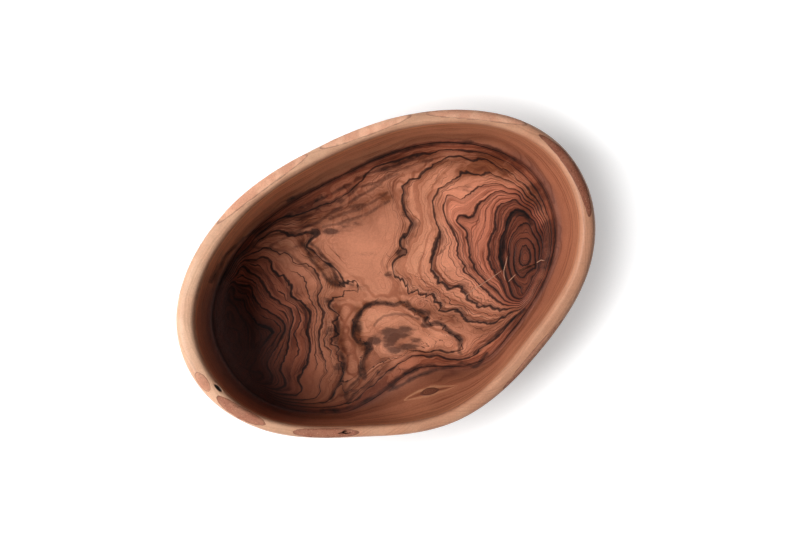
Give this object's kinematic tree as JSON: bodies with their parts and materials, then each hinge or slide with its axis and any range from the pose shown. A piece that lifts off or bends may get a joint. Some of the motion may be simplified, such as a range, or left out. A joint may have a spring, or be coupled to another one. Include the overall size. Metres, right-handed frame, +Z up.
{
  "type": "fruit bowl",
  "caption": "Oval hand-carved olive-wood fruit bowl with a flat foot, steep hollow, rounded shoulder, remnants of bark along its rim and a knot in its wall.",
  "frame": {"origin": "on the surface that the bowl stands on, under the middle of its bounding box", "axes": "+X along the bowl's length, towards its rounder end; +Y across it; +Z up, out of the hollow"},
  "size_m": [0.28, 0.196, 0.076],
  "materials": {
    "olive_wood": "oiled, satin",
    "bark": "inner bark, matte",
    "knot_wood": "oiled, satin"
  },
  "bodies": {
    "root": {"bowl_body": "olive_wood", "wall_knot": "knot_wood", "bark_right_end": "bark", "bark_upper_right": "bark", "bark_upper_middle": "bark", "bark_upper_left": "bark", "bark_left_end": "bark", "bark_lower_left": "bark", "bark_lower_middle": "bark", "bark_lower_right": "bark"}
  },
  "joints": []
}
